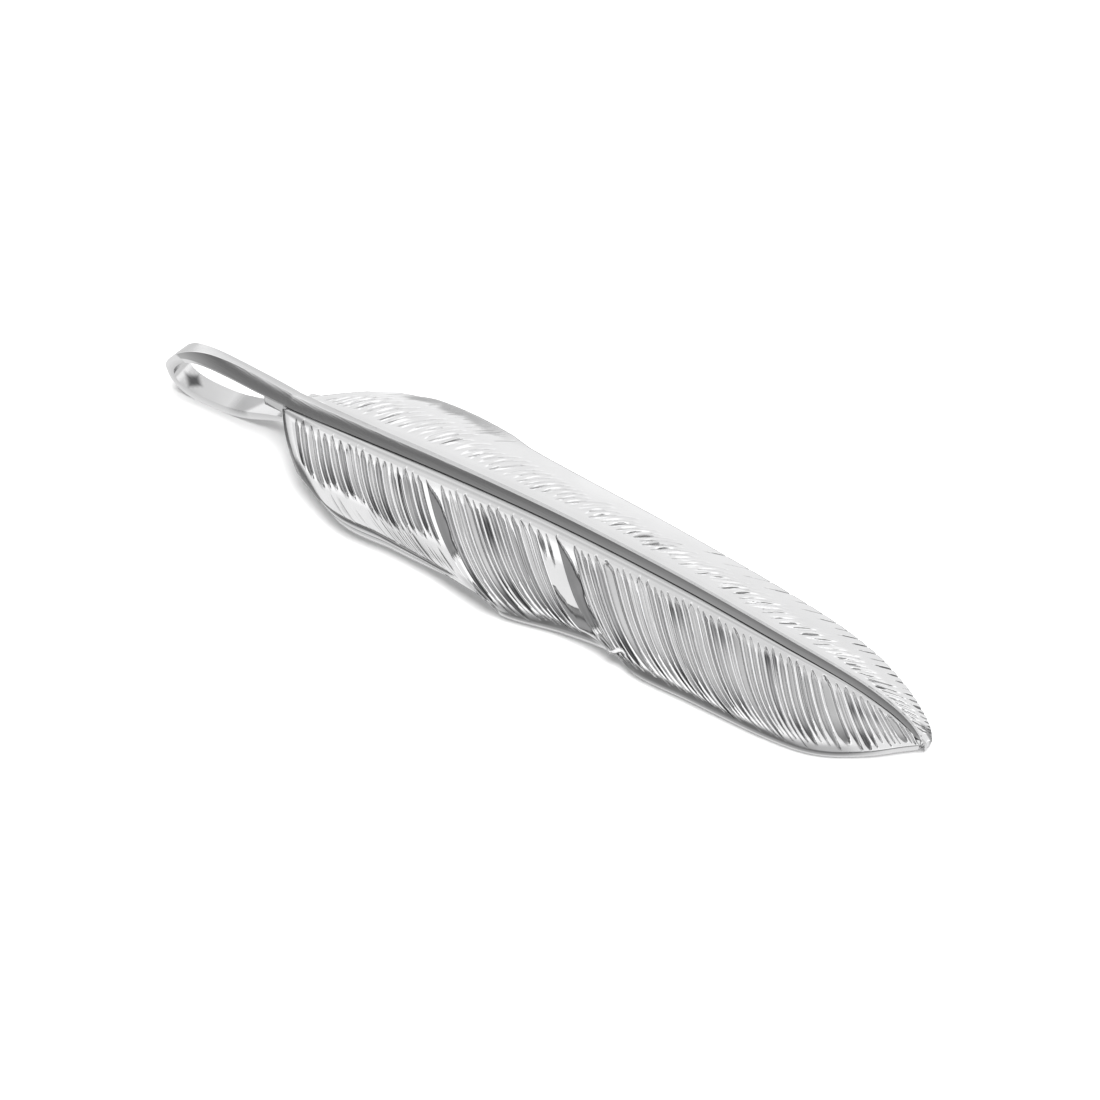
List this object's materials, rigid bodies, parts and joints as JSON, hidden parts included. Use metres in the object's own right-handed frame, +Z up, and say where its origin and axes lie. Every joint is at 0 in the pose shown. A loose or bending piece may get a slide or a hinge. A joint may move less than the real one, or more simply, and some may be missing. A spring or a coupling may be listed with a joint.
{
  "type": "feather pendant",
  "caption": "Polished silver feather pendant: an arched plate carved with barbs and splits, and a half-round quill that folds back into a teardrop loop for a cord or chain.",
  "frame": {"origin": "the middle of the object's box, on the surface that the pendant lies on", "axes": "+X from the loop to the feather's tip, +Y across to the vane without splits, +Z up from the surface it lies on"},
  "size_m": [0.0684, 0.015, 0.0053],
  "materials": {
    "silver_plate": "polished sterling silver, carved grooves left a little duller",
    "silver_bar": "polished sterling silver"
  },
  "bodies": {
    "root": {"vane_plate": "silver_plate", "quill_and_bail": "silver_bar"}
  },
  "joints": []
}
